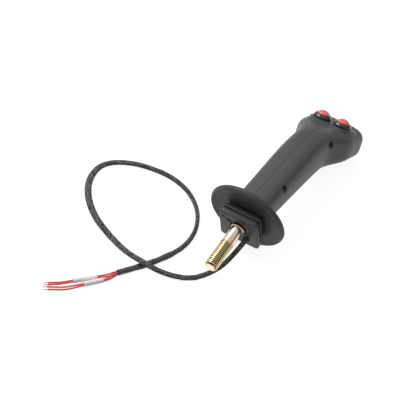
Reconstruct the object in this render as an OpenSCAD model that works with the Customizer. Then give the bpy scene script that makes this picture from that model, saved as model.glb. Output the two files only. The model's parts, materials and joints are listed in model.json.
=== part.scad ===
// Hand grip of an industrial joystick: a two-shell grip with a round guard, two push buttons
// in its head, a screw-in mounting stud and a braided lead. It lies on its back on the table,
// with the head towards +Y and the button side up.

/* [Grip] */
// Length of the centre line from the guard to the crown
grip_len = 168; // [150:1:190]
// Width across the grip where it meets the guard
foot_w = 33; // [31:0.5:40]
// Depth from front to back where it meets the guard
foot_d = 30; // [29:0.5:38]
// Width across the grip at the palm
palm_w = 35; // [31:0.5:42]
// Depth from front to back at the palm
palm_d = 37; // [32:0.5:44]
// Extra fullness behind the palm
palm_swell = 2.0; // [0:0.5:4]
// Width across the head
head_w = 56; // [52:0.5:68]
// Depth of the head, square to its front
head_d = 32; // [30:0.5:38]
// Backward lean of the grip from the stud's axis, in degrees
lean = 14; // [8:1:20]
// Backward tilt of the head, in degrees
head_tilt = 38; // [28:1:44]
// Radius round the crown
crown_r = 9; // [6:0.5:12]
// Wall of the shells
wall = 3; // [2.4:0.2:3.6]

/* [Guard and base] */
// Diameter of the round guard
guard_d = 75; // [66:1:92]
// Thickness of the guard's rolled rim
rim_t = 7; // [5:0.5:8]
// Width of the base plate
plate_w = 38.5; // [36:0.5:44]
// Depth of the base plate
plate_d = 35.5; // [31:0.5:38]
// Thickness of the base plate
plate_t = 5; // [4:0.5:6]
// Height of the neck between the guard and the base plate
neck_h = 7; // [6:0.5:10]

/* [Mounting stud] */
// Thread diameter of the stud
stud_d = 12; // [10:1:12]
// Length of the thread
thread_len = 28; // [20:1:40]
// Plain shank between the base plate and the thread
shank_len = 18; // [14:1:26]

/* [Buttons] */
// Distance between the two buttons
button_pitch = 20.6; // [19:0.2:24]
// Diameter of the bezels
bezel_d = 17.6; // [16:0.2:18.4]
// Diameter of the red caps
cap_d = 12; // [10:0.2:12.4]
// How far a cap stands above its bezel
cap_rise = 3.4; // [2.4:0.2:4.4]
// Travel of a cap
travel = 1.8; // [1:0.1:2]
// Lean of the buttons from the stud's axis to the front, in degrees
button_lean = 45; // [40:1:56]

/* [Fasteners and lead] */
// Diameter of the two shell screws
screw_d = 3; // [2.5:0.5:3.5]
// Diameter of the braided lead
lead_d = 4.6; // [4:0.2:5]
// Diameter of one wire
wire_d = 1.5; // [1.2:0.1:1.6]

/* [Hidden] */

$fn = 64;
slop = 0.3;                 // clearance between pieces that only sit side by side
seat_z = rim_t / 2;         // the shells stand on the guard's top face
neck_top = -seat_z;
plate_top = neck_top - neck_h;
plate_z = plate_top - plate_t;
plate_y = 2.5;                // the plate and neck are centred this far behind the stud

// Centre line: straight up with the lean, then bending back into the head
bend_at = 0.605 * grip_len;
bend_run = 0.4 * grip_len;
palm_at = 0.5 * grip_len;
flare_at = 0.72 * grip_len;
flare_run = 0.2 * grip_len;
swell_at = 0.56 * grip_len;
swell_run = 0.14 * grip_len;
square_run = 40;            // the sections turn square to the centre line over this length
foot_y = -1.5;
fullness = 2.8;             // exponent of the section: 2 is an ellipse, more is squarer
line_step = 2;

function mix(a, b, t) = a + (b - a) * t;
function ease(t) = let (c = min(1, max(0, t))) c * c * (3 - 2 * c);
function tilt_at(u) = mix(lean, head_tilt, ease((u - bend_at) / bend_run + 0.5));
function cut_at(u) = tilt_at(u) * ease(u / square_run);
function trace(start, rate) =
    [for (i = 0, p = start; i <= grip_len / line_step; p = p + line_step * rate[i], i = i + 1)
        [i * line_step, p]];
steps = [for (i = [0 : grip_len / line_step]) tilt_at((i + 0.5) * line_step)];
line_y = trace(foot_y, [for (a = steps) sin(a)]);
line_z = trace(seat_z, [for (a = steps) cos(a)]);
function mid_y(u) = lookup(u, line_y) + min(u, 0) * sin(lean);
function mid_z(u) = lookup(u, line_z) + min(u, 0) * cos(lean);

// Half width, and half depth to the front and to the back, at u along the centre line
function flare(u) = ease((u - flare_at) / flare_run + 0.5);
function half_w(u) = mix(mix(foot_w, palm_w, ease(u / palm_at)), head_w, flare(u)) / 2;
function half_d(u) = mix(mix(foot_d, palm_d, ease(u / palm_at)), head_d, flare(u)) / 2;
function swell(u) = palm_swell * exp(-pow((u - swell_at) / swell_run, 2));
function crown(u, r) = let (e = max(0, r - max(0, grip_len - u))) r - sqrt(r * r - e * e);

function bend_power(v) = sign(v) * pow(abs(v), 2 / fullness);
function skin_point(u, t, inset, shrink) =
    let (
        v = bend_power(sin(t)),
        back = v > 0 ? swell(u) : 0,
        d = v * (half_d(u) + back - inset - shrink)
    )
    [bend_power(cos(t)) * (half_w(u) - inset - shrink),
     mid_y(u) + d * cos(cut_at(u)), mid_z(u) - d * sin(cut_at(u))];
function front_point(u) = skin_point(u, -90, 0, 0);

// Stations: even along the body, then closer round the crown
body_stations = 22;
crown_stations = 5;
function stations(from, inset) =
    let (top = grip_len - inset, r = crown_r - inset, run = top - r - from)
    concat([for (i = [0 : body_stations]) [from + run * i / body_stations, 0]],
           [for (i = [1 : crown_stations]) let (a = 90 * i / crown_stations)
               [top - r + r * sin(a), r * (1 - cos(a))]]);

// A closed solid through a list of rings. All rings have the same number of points, and run
// counter-clockwise about the way that the list goes.
module skin(rings) {
    n = len(rings[0]);
    m = len(rings);
    sides = [for (i = [0 : m - 2], j = [0 : n - 1]) let (a = i * n + j, b = i * n + (j + 1) % n)
        each [[a, a + n, b + n], [a, b + n, b]]];
    polyhedron([for (r = rings, p = r) p],
        concat([[for (j = [0 : n - 1]) j]], sides, [[for (j = [n - 1 : -1 : 0]) (m - 1) * n + j]]));
}

half_arc = 16;              // facets round half a section
module half_grip() {
    skin([for (s = stations(0, 0)) [for (j = [0 : half_arc])
        skin_point(s[0], 180 * j / half_arc - 90, 0, s[1])]]);
}

cavity_arc = 24;
module cavity(inset) {
    skin([for (s = stations(-2, inset)) [for (j = [0 : cavity_arc - 1])
        skin_point(s[0], 360 * j / cavity_arc, inset, s[1])]]);
}

// The buttons stand on two round pads, squared to the buttons' own lean
button_u = 0.845 * grip_len;
pad_rise = 1.2;
pad_depth = 7;
pad_d = bezel_d + 5;
pad_edge = 0.8;
nut_h = 2.8;
nut_af = 14;
barrel_d = 10.8;
barrel_len = 13;
hole_d = barrel_d + 0.4;
pad_origin = front_point(button_u) + pad_rise * [0, -sin(button_lean), cos(button_lean)];
module at_button(side) {
    translate(pad_origin + [side * button_pitch / 2, 0, 0]) rotate([button_lean, 0, 0]) children();
}

// Spigot of the base block inside the shells
spigot_h = 9;
spigot_w = foot_w - 2 * wall - 2 * slop;
spigot_d = foot_d - 2 * wall - 2 * slop;

// Stud: a bolt whose six-sided head sits in a pocket of the base block
head_af = 1.5 * stud_d;
head_h = 0.63 * stud_d;
head_z = plate_z + 3;
collar_d = stud_d + 1.4;
collar_end = plate_z - 1.5;
shank_d = stud_d - 0.4;
thread_z = plate_z - shank_len;
tip_z = thread_z - thread_len;

// The lead leaves through the base plate behind the stud, on its right
lead_x = 7;
lead_y = 12.2;
bend_low = [lead_x, lead_y, plate_z + 7.2];      // where it leans forward into the grip
lead_back = foot_y + foot_d / 2 - wall - lead_d / 2 - 1.2;
bend_high = [lead_x - 0.4, lead_back, seat_z + 0.5];

plastic = "#3c403e";

// Everything of the grip is drawn with the stud's axis upright, then laid on its back. It
// rests on the guard's rim and on the back of the head.
rim_r = rim_t / 2;
rim_y = guard_d / 2 - rim_r;
function rest_angle(p) = let (dy = p[1] - rim_y, dz = p[2])
    atan2(dy, dz) - asin(rim_r / norm([dy, dz]));
back_points = [for (s = stations(0, 0)) skin_point(s[0], 90, 0, s[1])];
rest_tilt = max([for (p = back_points) rest_angle(p)]);
rest_z = rim_y * cos(rest_tilt) + rim_r;
function lying_y(p) = p[1] * sin(rest_tilt) + p[2] * cos(rest_tilt);
crown_y = max([for (s = stations(0, 0), t = [-90, 90]) lying_y(skin_point(s[0], t, 0, s[1]))]);
tip_y = lying_y([0, -stud_d / 2, tip_z]);
rest_y = -(crown_y + tip_y) / 2;
module lying() { translate([0, rest_y, rest_z]) rotate([rest_tilt - 90, 0, 0]) children(); }

// ---- Shells ----
peg_d = 3;
peg_len = 3;
peg_places = [[0.32 * grip_len, 26], [0.92 * grip_len, 22]];
screw_len = 20;
screw_head_d = 1.9 * screw_d;
screw_head_h = 0.7 * screw_d;
screw_seat_x = 6;
screw_boss_d = screw_head_d + 2 * slop + 4.4;
screw_places = [[0.195 * grip_len, 6.5], [0.655 * grip_len, 8.5]];
function inner_point(place) = front_point(place[0])
    + place[1] * [0, cos(cut_at(place[0])), -sin(cut_at(place[0]))];
module across(places, side) {
    for (place = places) translate(inner_point(place)) rotate([0, side * 90, 0]) children();
}

tab_h = 2.4;
tab_z = seat_z + 4;
tab_run = 9;
tab_reach = 1.8;

module tab() {
    run = foot_w / 2 - wall / 2 - spigot_w / 2 + tab_reach;
    translate([spigot_w / 2 - tab_reach + run / 2, foot_y, tab_z + tab_h / 2])
        cube([run, tab_run, tab_h], center = true);
}

// The pad stops just short of the other shell's
module pad() {
    intersection() {
        at_button(1) rotate_extrude() polygon([[0, -pad_depth], [pad_d / 2, -pad_depth],
            [pad_d / 2, -pad_edge], [pad_d / 2 - pad_edge, 0], [0, 0]]);
        translate([0.05, -grip_len, 0]) cube(2 * grip_len);
    }
}

module bosses() {
    intersection() {
        cavity(wall / 2);
        union() {
            across(screw_places, 1) cylinder(d = screw_boss_d, h = foot_w);
            across(peg_places, 1) cylinder(d = peg_d + 4, h = foot_w);
        }
    }
}

// What both shells have, drawn as the right one
module shell_body() {
    difference() {
        union() {
            difference() {
                half_grip();
                cavity(wall);
            }
            bosses();
            pad();
            tab();
        }
        at_button(1) {
            translate([0, 0, -grip_len / 8]) cylinder(d = hole_d, h = grip_len / 4);
            translate([0, 0, -pad_depth - nut_h - 2])
                cylinder(d = nut_af / cos(30) + 2 * slop, h = nut_h + 2);
        }
    }
}

module left_shell() {
    color(plastic) lying() {
        difference() {
            mirror([1, 0, 0]) shell_body();
            across(screw_places, -1) translate([0, 0, -1])
                cylinder(d = screw_d + 0.1, h = screw_len - screw_seat_x + 2);
        }
        across(peg_places, 1) translate([0, 0, -2]) cylinder(d = peg_d, h = peg_len + 2);
    }
}

module right_shell() {
    color(plastic) lying() difference() {
        shell_body();
        across(screw_places, 1) {
            translate([0, 0, -1]) cylinder(d = screw_d + 0.4, h = screw_seat_x + 2);
            translate([0, 0, screw_seat_x]) cylinder(d = screw_head_d + 2 * slop, h = head_w);
        }
        across(peg_places, 1) translate([0, 0, -1]) cylinder(d = peg_d + 0.2, h = peg_len + 1.5);
    }
}

module shell_screws() {
    color("#55585a") lying() across(screw_places, 1) difference() {
        union() {
            translate([0, 0, screw_seat_x - screw_len]) cylinder(d = screw_d, h = screw_len);
            translate([0, 0, screw_seat_x]) cylinder(d = screw_head_d, h = screw_head_h);
        }
        for (a = [0, 90]) rotate(a) translate([0, 0, screw_seat_x + screw_head_h])
            cube([0.6 * screw_head_d, 0.16 * screw_head_d, screw_head_h], center = true);
    }
}

// ---- Guard ----
hub_r = 17.5;
web_t = 3;
rim_w = 9;                  // how broad the rolled rim is
module guard_profile() {
    rim_in = guard_d / 2 - rim_w + rim_r;
    square([hub_r, rim_t]);
    translate([0, rim_t - web_t]) square([rim_in, web_t]);
    translate([rim_in, 0]) square([rim_y - rim_in, rim_t]);
    translate([rim_in, rim_r]) circle(d = rim_t);
    translate([rim_y, rim_r]) circle(d = rim_t);
}

module guard() {
    color(plastic) lying() difference() {
        translate([0, 0, -rim_r]) rotate_extrude($fn = 96) guard_profile();
        translate([0, foot_y, -rim_t]) linear_extrude(2 * rim_t)
            rounded(spigot_w + 3 * slop, spigot_d + 3 * slop, spigot_round + slop);
        lead_channel();
    }
}

// ---- Base block: base plate, boot groove, neck and spigot in one moulding ----
plate_round = 3.8;
plate_edge = 1.2;           // chamfer round the plate's outer face
groove_h = 1.6;
groove_depth = 1.3;
spigot_round = 8.5;
bolt_hole_d = stud_d + 1.8;
pocket_af = head_af + 0.4;
slot_depth = 2;
plate_slots = [[-14.4, -9, 2.4, 1.6], [-9.4, -7.4, 5.4, 2]];
dot_at = [11, -7];

module rounded(w, d, r) {
    square([w - 2 * r, d], center = true);
    square([w, d - 2 * r], center = true);
    for (x = [-1, 1], y = [-1, 1]) translate([x * (w / 2 - r), y * (d / 2 - r)]) circle(r);
}

module neck() {
    hull() {
        translate([0, plate_y, plate_z]) linear_extrude(plate_t)
            rounded(plate_w - 2 * plate_edge, plate_d - 2 * plate_edge, plate_round - plate_edge);
        translate([0, plate_y, plate_z + plate_edge]) linear_extrude(plate_t - plate_edge)
            rounded(plate_w, plate_d, plate_round);
    }
    translate([0, plate_y, plate_top]) linear_extrude(neck_h)
        rounded(plate_w - 2 * groove_depth, plate_d - 2 * groove_depth, plate_round - 1);
    translate([0, plate_y, plate_top + groove_h]) linear_extrude(neck_h - groove_h)
        rounded(plate_w - 1, plate_d - 1, plate_round);
}

// The spigot stands through the guard and leans with the shells
module spigot() {
    translate([0, foot_y, neck_top]) linear_extrude(rim_t)
        rounded(spigot_w + slop, spigot_d + slop, spigot_round);
    translate([0, foot_y, seat_z]) rotate([-lean, 0, 0]) translate([0, 0, -1])
        linear_extrude(spigot_h + 1) rounded(spigot_w, spigot_d * cos(lean) - 0.4, spigot_round);
}

module base_block() {
    color(plastic) lying() difference() {
        union() {
            neck();
            spigot();
        }
        translate([0, 0, plate_z - 1]) cylinder(d = bolt_hole_d, h = plate_t + neck_h);
        translate([0, 0, plate_z - 1]) cylinder(d = bolt_hole_d + 2.6, h = 2.4);
        translate([0, 0, head_z]) cylinder(d = pocket_af / cos(30), h = grip_len / 4, $fn = 6);
        for (side = [-1, 1])
            translate([side * (spigot_w / 2 - tab_reach / 2), foot_y, tab_z + tab_h / 2])
            cube([tab_reach + 2 * slop, tab_run + 2 * slop, tab_h + 2 * slop], center = true);
        lead_channel();
        for (slot = plate_slots) translate([slot[0], slot[1], plate_z - 1])
            linear_extrude(slot_depth + 1) square([slot[2], slot[3]], center = true);
        translate([dot_at[0], dot_at[1], plate_z - 1]) cylinder(d = 1.6, h = slot_depth + 1, $fn = 24);
    }
}

// ---- Stud ----
module mounting_stud() {
    color("#c9a04a") lying() {
        translate([0, 0, head_z]) cylinder(d = head_af / cos(30), h = head_h, $fn = 6);
        rotate_extrude() polygon([[0, tip_z], [stud_d / 2 - 1.2, tip_z], [stud_d / 2, tip_z + 1.2],
            [stud_d / 2, thread_z - 0.6], [shank_d / 2, thread_z], [shank_d / 2, collar_end - 0.8],
            [collar_d / 2, collar_end], [collar_d / 2, head_z + 0.01], [0, head_z + 0.01]]);
    }
}

// ---- Buttons: z = 0 is the pad's face, and z runs along the button's axis ----
seal_h = 0.8;
bezel_h = 3.6;
bezel_top = seal_h + bezel_h;
recess_z = seal_h + 0.4;
cap_z = recess_z + travel + 0.2;
bore_r = 4.2;
throat_r = 2.6;
throat_z = -1;
plug_z = -11;
barrel_z = -barrel_len;
base_z = barrel_z - 6;
shoulder_z = throat_z - slop;
shoulder_h = 1.5;
bridge_z = shoulder_z - shoulder_h - 0.5;
pin_z = plug_z + travel + 1;
post_z = bridge_z - travel - slop;
terminal_z = base_z - 6;
terminal_x = 3.1;
spring_wire = 0.5;
spring_r = 1.75;
spring_turns = 6;

module bezel(side) {
    color("#0c0d0e") lying() at_button(side) rotate_extrude() polygon([
        [bore_r, barrel_z], [barrel_d / 2, barrel_z], [barrel_d / 2, seal_h],
        [bezel_d / 2 - 0.3, seal_h], [bezel_d / 2, seal_h + 0.3], [bezel_d / 2, seal_h + 1],
        [cap_d / 2 + 1.5, bezel_top - 0.3], [cap_d / 2 + 1, bezel_top], [cap_d / 2 + 0.3, bezel_top],
        [cap_d / 2 + 0.3, recess_z], [throat_r, recess_z], [throat_r, throat_z],
        [bore_r, throat_z]]);
}

module seal(side) {
    color("#050505") lying() at_button(side) difference() {
        cylinder(d = bezel_d - 0.6, h = seal_h);
        translate([0, 0, -1]) cylinder(d = barrel_d + 0.2, h = seal_h + 2);
    }
}

module nut(side) {
    color("#8c8f92") lying() at_button(side) translate([0, 0, -pad_depth - nut_h]) difference() {
        cylinder(d = nut_af / cos(30), h = nut_h, $fn = 6);
        translate([0, 0, -1]) cylinder(d = barrel_d + 0.1, h = nut_h + 2);
    }
}

// A low dome on a short skirt
module cap(side) {
    dome_h = cap_rise - 0.4;
    dome_r = (pow(cap_d / 2, 2) + dome_h * dome_h) / (2 * dome_h);
    dome_a = asin(cap_d / 2 / dome_r);
    color("#d6281f") lying() at_button(side) rotate_extrude() polygon(concat(
        [[0, cap_z], [cap_d / 2, cap_z]],
        [for (i = [0 : 8]) let (a = dome_a * (1 - i / 8))
            [dome_r * sin(a), bezel_top + 0.4 + dome_h - dome_r + dome_r * cos(a)]]));
}

module plunger(side) {
    color("#e8e4d8") lying() at_button(side) rotate_extrude() polygon([
        [0, pin_z], [1.1, pin_z], [1.1, shoulder_z - shoulder_h],
        [bore_r - slop, shoulder_z - shoulder_h], [bore_r - slop, shoulder_z],
        [throat_r - slop, shoulder_z], [throat_r - slop, cap_z], [0, cap_z]]);
}

module bridge(side) {
    color("#c8a24a") lying() at_button(side) translate([0, 0, bridge_z]) difference() {
        cylinder(r = bore_r - 0.5, h = 0.5);
        translate([0, 0, -1]) cylinder(r = 1.2, h = 3, $fn = 32);
    }
}

module spring(side) {
    top = bridge_z - 0.55;
    bottom = plug_z + 0.55;
    n = spring_turns * 9;
    coil = [for (i = [0 : n]) let (a = 360 * spring_turns * i / n)
        [spring_r * cos(a), spring_r * sin(a), mix(bottom, top, i / n)]];
    color("silver") lying() at_button(side) sweep(coil, spring_wire / 2, 5);
}

module terminal_posts(side, grow) {
    at_button(side) for (x = [-1, 1]) translate([x * terminal_x, 0, (post_z + terminal_z) / 2])
        cube([0.8 + grow, 2 + grow, post_z - terminal_z], center = true);
}

module contacts(side) {
    color("#202224") lying() difference() {
        at_button(side) {
            translate([0, 0, barrel_z]) cylinder(r = bore_r - 0.1, h = plug_z - barrel_z);
            translate([0, 0, base_z]) cylinder(d = barrel_d, h = barrel_z - base_z);
        }
        terminal_posts(side, 0.2);
    }
}

module terminals(side) { color("#c8b070") lying() terminal_posts(side, 0); }

// ---- Lead and wires ----
// A tube of radius r along a path, its rings kept square to it without twist
function unit(v) = v / norm(v);
function heading(path, i) = unit(path[min(i + 1, len(path) - 1)] - path[max(i - 1, 0)]);
function squared(v, t) = unit(v - (v * t) * t);
function side_vectors(path) = let (t = heading(path, 0), axis = abs(t[0]) < 0.8 ? [1, 0, 0] : [0, 1, 0])
    [for (i = 0, v = squared(axis, t); i < len(path);
          i = i + 1, v = i < len(path) ? squared(v, heading(path, i)) : v) v];
module sweep(path, r, sides) {
    across_path = side_vectors(path);
    skin([for (i = [0 : len(path) - 1]) let (u = across_path[i], w = cross(heading(path, i), u))
        [for (j = [0 : sides - 1]) let (a = 360 * j / sides) path[i] + r * (cos(a) * u + sin(a) * w)]]);
}

// Points on a smooth curve through the route's points
function curve_point(a, b, c, d, t) = 0.5 * (2 * b + (c - a) * t
    + (2 * a - 5 * b + 4 * c - d) * t * t + (3 * b - a - 3 * c + d) * t * t * t);
function curve(route, parts) = let (last = len(route) - 1)
    concat([for (i = [0 : last - 1], k = [0 : parts - 1])
        curve_point(route[max(i - 1, 0)], route[i], route[i + 1], route[min(i + 2, last)], k / parts)],
        [route[last]]);

// Inside the grip: the lead climbs through the base block, and its wires fan out to the
// terminals
lead_top = seat_z + 16.5;
bore_over = 0.5;            // how much wider the lead's bores are, all round
inner_route = [[lead_x, lead_y, plate_z + slop], bend_low - [0, 0, 3.5], bend_low,
    (bend_low + bend_high) / 2, bend_high, bend_high + [0, 0.3, 4], [lead_x - 0.8, lead_back + 0.6, lead_top - 6],
    [lead_x - 1, lead_back + 1, lead_top]];
// Three bores, each a little wider than the one before it
module bore_between(a, b, wider) {
    run = b - a;
    translate(a) rotate([0, acos(run[2] / norm(run)), atan2(run[1], run[0])])
        cylinder(r = lead_d / 2 + bore_over + wider, h = norm(run));
}
module lead_channel() {
    bore_between([lead_x, lead_y, plate_z - 1], bend_low + [0, 0, 2], 0);
    bore_between(bend_low - [0, 0, 1], bend_high + [0, 0, 1], 0.1);
    bore_between(bend_high - [0, 0, 2], bend_high + [0, 0, spigot_h + 4], 0.2);
}
module inner_lead() { color("#18191b") lying() sweep(curve(inner_route, 2), lead_d / 2, 10); }

tie_z = seat_z + 12.5;
module cable_tie() {
    color("#e6e6e2") lying() translate([lead_x - 1, lead_back + 0.7, tie_z]) difference() {
        union() {
            cylinder(d = lead_d + 2.4, h = 2.5, center = true);
            translate([-lead_d / 2 - 1.6, 0, 0]) cube([3, 4, 3.5], center = true);
        }
        cylinder(d = lead_d + 0.4, h = 5, center = true);
    }
}

function button_point(side, p) = pad_origin + [side * button_pitch / 2 + p[0],
    p[1] * cos(button_lean) - p[2] * sin(button_lean), p[1] * sin(button_lean) + p[2] * cos(button_lean)];
// A place inside the grip: share of its length, then how far right of and behind the centre line
function inside(share, right, behind) = let (u = share * grip_len)
    [right, mid_y(u) + behind * cos(cut_at(u)), mid_z(u) - behind * sin(cut_at(u))];
trunk = [[lead_x - 1, lead_back + 1, lead_top + 1], inside(0.15, 5.4, 3.6), inside(0.23, 3.5, 1.6),
    inside(0.328, 2, 1.2), inside(0.439, 1, 1.7), inside(0.552, 0.5, 4), inside(0.66, 0.5, 5.5)];
fork = [-5.7, -15.6, terminal_z - 2.9];  // from a button's axis, in its own upright frame
wire_gap = [1.25, 1.2];     // half the spacing of the four wires, across and from front to back
module inner_wires(side) {
    for (k = [-1, 1]) {
        spread = [side * wire_gap[0], k * wire_gap[1], -k * wire_gap[1] / 2];
        lug = k * side * terminal_x;
        sweep(curve(concat([for (p = trunk) p + spread],
            [button_point(side, [side * fork[0] + lug / 2, fork[1], fork[2]]) + spread / 2],
            [for (drop = [[-2, 3.5], [0, 1.8], [0, slop]])
                button_point(side, [lug, drop[0], terminal_z - drop[1]])]), 2), wire_d / 2, 6);
    }
}

// ---- The free lead, on the table ----
function lying_point(p) = [p[0], rest_y + lying_y(p),
    rest_z - p[1] * cos(rest_tilt) + p[2] * sin(rest_tilt)];
lead_r = lead_d / 2;
wire_r = wire_d / 2;
shrink_d = lead_d + 1.2;
shrink_r = shrink_d / 2;
lead_start = [for (drop = [0, 5]) lying_point([lead_x, lead_y, plate_z - drop])];
lead_route = [[5, -83, 14.5], [1, -95, 8], [-6, -107, 4], [-15, -117, lead_r], [-28, -125, 3.2],
    [-42, -130, 6], [-56, -131.5, 8.8], [-72, -128.5, 6.8], [-88, -122, 3.6], [-104, -114.5, lead_r],
    [-121, -106, lead_r], [-137, -94, lead_r], [-150, -79, lead_r], [-157.5, -63, lead_r],
    [-158, -46, lead_r], [-148, -33, lead_r], [-128, -24, lead_r], [-101, -21.5, lead_r],
    [-78, -27.5, lead_r], [-60, -40, lead_r], [-48.5, -55, lead_r], [-42, -72, lead_r],
    [-41, -88, lead_r], [-43.5, -102, shrink_r]];
shrink_route = [[-43.65, -102.4, shrink_r], [-49, -115.5, shrink_r], [-55.5, -128, shrink_r],
    [-62, -138.5, shrink_r], [-69.5, -150, shrink_r]];
fan_z = shrink_r;           // height of the wires' bundle where it leaves the heat-shrink
pair_z = wire_r + 1;        // height of a pair of wires in its sleeve
wire_routes = [
    [[-70.6, -150, fan_z + 1], [-75, -156, 2.9], [-82, -163.2, pair_z], [-89, -171.3, pair_z],
     [-96.4, -179.6, pair_z], [-104, -187, 1.1], [-112, -192.8, wire_r + 0.05]],
    [[-70.6, -150, fan_z - 1], [-74.2, -156.9, 1.6], [-80.8, -164.3, pair_z],
     [-87.8, -172.4, pair_z], [-95.2, -180.7, pair_z], [-103, -188.7, 1.1],
     [-111.2, -195.1, wire_r + 0.05]],
    [[-69.2, -151, fan_z + 1], [-71.6, -157, 2.9], [-75.4, -163, pair_z], [-80.6, -169.9, pair_z],
     [-86.6, -177.5, pair_z], [-97.6, -189.2, 1.1], [-110, -197.4, wire_r + 0.05]],
    [[-69.2, -151, fan_z - 1], [-70.6, -157.6, 1.7], [-74, -163.9, pair_z],
     [-79.2, -170.9, pair_z], [-85.2, -178.5, pair_z], [-94.6, -190.4, 1.1],
     [-107.6, -199.6, wire_r + 0.05]]];
tip_run = [-3.1, -2.2, 0];
sleeve_d = 4.4;
sleeve_wall = 0.35;
sleeve_ends = [[[-81.4, -163.8], [-95.6, -179.9]], [[-74.7, -163.4], [-85.7, -177.8]]];

module braided_lead() { color("#1a1b1d") sweep(curve(concat(lead_start, lead_route), 2), lead_r, 10); }
module heat_shrink() { color("#2a2c2e") sweep(curve(shrink_route, 2), shrink_r, 12); }
module lead_wire(i) { color("#c8281e") sweep(curve(wire_routes[i], 2), wire_r, 8); }
module sleeve(i) {
    a = concat(sleeve_ends[i][0], [sleeve_d / 2]);
    run = concat(sleeve_ends[i][1], [sleeve_d / 2]) - a;
    color("#f2f0ea") translate(a) rotate([0, 90, atan2(run[1], run[0])]) difference() {
        cylinder(d = sleeve_d, h = norm(run));
        translate([0, 0, -1]) cylinder(d = sleeve_d - 2 * sleeve_wall, h = norm(run) + 2);
    }
}
module wire_tips() {
    for (route = wire_routes) let (end = route[len(route) - 1])
        color("#b9bcc0") translate(end) rotate([0, 90, atan2(tip_run[1], tip_run[0])])
        cylinder(d = wire_d - 0.6, h = norm(tip_run), $fn = 24);
}

left_shell();
right_shell();
guard();
base_block();
mounting_stud();
shell_screws();
inner_lead();
cable_tie();
braided_lead();
heat_shrink();
sleeve(0);  // upper_sleeve
sleeve(1);  // lower_sleeve
wire_tips();
lead_wire(0);  // wire_1
lead_wire(1);  // wire_2
lead_wire(2);  // wire_3
lead_wire(3);  // wire_4
bezel(-1);  // left_bezel
seal(-1);  // left_seal
nut(-1);  // left_nut
cap(-1);  // left_cap
plunger(-1);  // left_plunger
bridge(-1);  // left_bridge
spring(-1);  // left_spring
contacts(-1);  // left_contacts
terminals(-1);  // left_terminals
color("#b02018") lying() inner_wires(-1);  // left_inner_wires
bezel(1);  // right_bezel
seal(1);  // right_seal
nut(1);  // right_nut
cap(1);  // right_cap
plunger(1);  // right_plunger
bridge(1);  // right_bridge
spring(1);  // right_spring
contacts(1);  // right_contacts
terminals(1);  // right_terminals
color("#b02018") lying() inner_wires(1);  // right_inner_wires
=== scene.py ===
import bisect
import functools
import json
import math

import bmesh
import bpy
from mathutils import Matrix, Vector


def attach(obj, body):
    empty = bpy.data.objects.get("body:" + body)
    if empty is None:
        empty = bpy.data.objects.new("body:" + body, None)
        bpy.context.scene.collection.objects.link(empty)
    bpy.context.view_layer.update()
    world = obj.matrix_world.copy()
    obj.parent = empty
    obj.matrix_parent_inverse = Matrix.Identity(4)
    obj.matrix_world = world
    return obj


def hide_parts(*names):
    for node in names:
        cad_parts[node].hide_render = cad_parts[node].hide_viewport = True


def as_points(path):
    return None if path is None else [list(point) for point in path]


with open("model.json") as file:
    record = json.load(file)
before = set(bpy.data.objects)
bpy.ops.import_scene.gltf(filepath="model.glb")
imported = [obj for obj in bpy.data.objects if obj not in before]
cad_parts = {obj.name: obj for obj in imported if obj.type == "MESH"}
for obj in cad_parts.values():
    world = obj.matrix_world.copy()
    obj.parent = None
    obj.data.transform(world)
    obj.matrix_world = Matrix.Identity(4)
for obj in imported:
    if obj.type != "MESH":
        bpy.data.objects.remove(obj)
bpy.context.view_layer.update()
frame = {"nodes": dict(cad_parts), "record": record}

mm = 0.001
scene = bpy.context.scene
scene.view_settings.view_transform = "Standard"


# ---- Camera ----
camera = dict(place=(0.5018, -1.05944, 1.11765), turn=(46.302, -3.818, 32.329), lens=162.0)

cameraData = bpy.data.cameras.new("camera")
cameraData.sensor_width = 36
cameraData.lens = camera["lens"]
cameraData.clip_start = 0.05
cameraData.clip_end = 20
cameraObject = bpy.data.objects.new("camera", cameraData)
cameraObject.location = camera["place"]
cameraObject.rotation_euler = [math.radians(a) for a in camera["turn"]]
scene.collection.objects.link(cameraObject)
scene.camera = cameraObject
print("camera placed")


# ---- Making meshes ----
def finish(bm, name, slot, nodes, sharp=35, body="grip", material=None):
    # turns a bmesh into a piece of the object, smooth except at edges sharper than that angle,
    # in the finish named like its slot unless a material is given
    bmesh.ops.remove_doubles(bm, verts=bm.verts, dist=1e-7)
    bmesh.ops.recalc_face_normals(bm, faces=bm.faces)
    mesh = bpy.data.meshes.new(name)
    bm.to_mesh(mesh)
    bm.free()
    mesh.shade_smooth()
    if sharp:
        mesh.set_sharp_from_angle(angle=math.radians(sharp))
    piece = bpy.data.objects.new(name, mesh)
    scene.collection.objects.link(piece)
    mesh.materials.append(material or finishes[slot])
    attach(piece, body)
    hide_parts(*nodes)
    return piece


def lathe(profile, steps=96, closed=False):
    # spins a profile of (radius, height) about the Z axis; a radius of 0 makes a pole
    bm = bmesh.new()
    dots = [bm.verts.new((r, 0, z)) for r, z in profile]
    lines = [bm.edges.new(pair) for pair in zip(dots, dots[1:])]
    if closed:
        lines.append(bm.edges.new((dots[-1], dots[0])))
    bmesh.ops.spin(bm, geom=dots + lines, cent=(0, 0, 0), axis=(0, 0, 1), dvec=(0, 0, 0),
                   angle=math.tau, steps=steps, use_merge=True)
    bmesh.ops.remove_doubles(bm, verts=bm.verts, dist=1e-6)
    bmesh.ops.recalc_face_normals(bm, faces=bm.faces)
    return bm


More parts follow.
